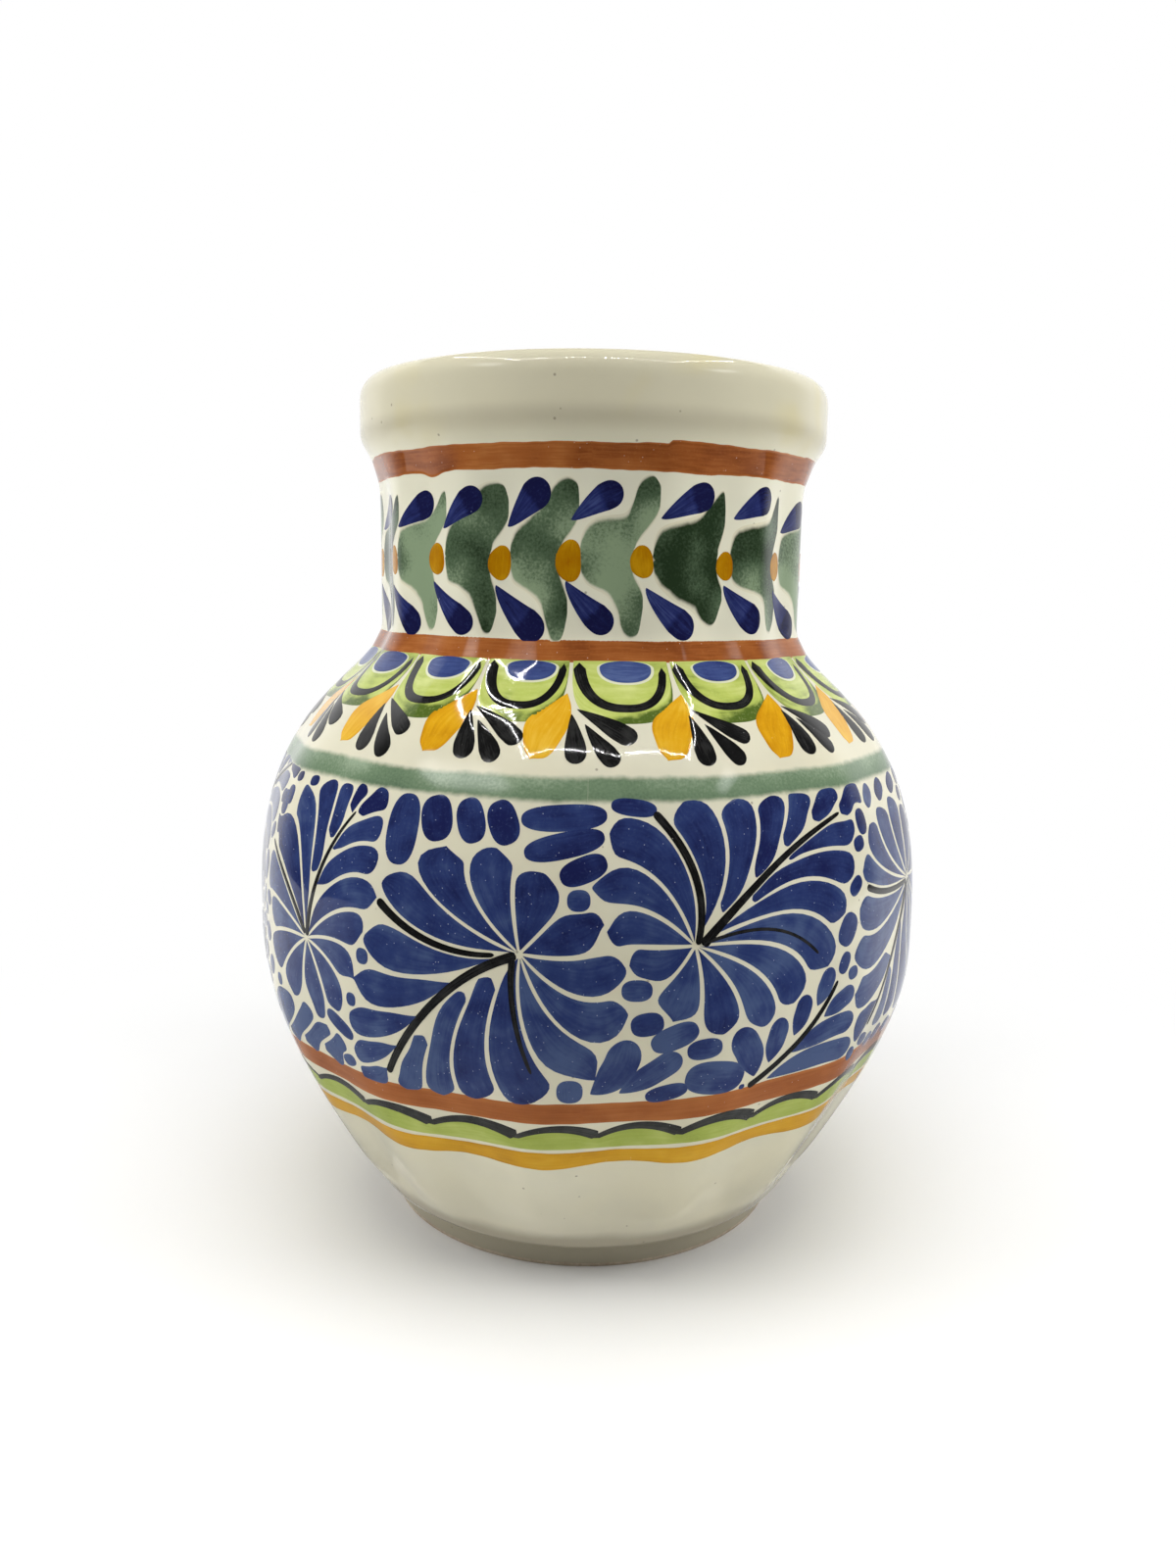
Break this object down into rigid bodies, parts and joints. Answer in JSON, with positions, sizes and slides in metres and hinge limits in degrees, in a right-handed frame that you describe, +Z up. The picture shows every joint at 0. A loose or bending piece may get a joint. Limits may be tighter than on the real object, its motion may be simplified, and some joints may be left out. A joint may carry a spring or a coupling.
{
  "type": "ribbed vase",
  "caption": "Ribbed ceramic vase with a round belly, wide neck, thick plain collar and set-in foot ring, glazed cream and painted in bands, for holding cut flowers.",
  "frame": {"origin": "centre of the foot ring's underside, on the surface that the vase stands on", "axes": "+Z up along the axis of the vase; the side that the picture shows faces -Y"},
  "size_m": [0.2012, 0.201, 0.2479],
  "materials": {
    "bare_clay": "matte",
    "cream_glaze": "gloss",
    "cobalt_blue": "gloss",
    "stem_black": "gloss",
    "terracotta_red": "gloss",
    "leaf_green": "gloss",
    "lime_green": "gloss",
    "ochre_yellow": "gloss"
  },
  "bodies": {
    "root": {"foot_ring": "bare_clay", "lower_bowl": "cream_glaze", "upper_bowl": "cream_glaze", "neck": "cream_glaze", "rim_collar": "cream_glaze"}
  },
  "joints": []
}
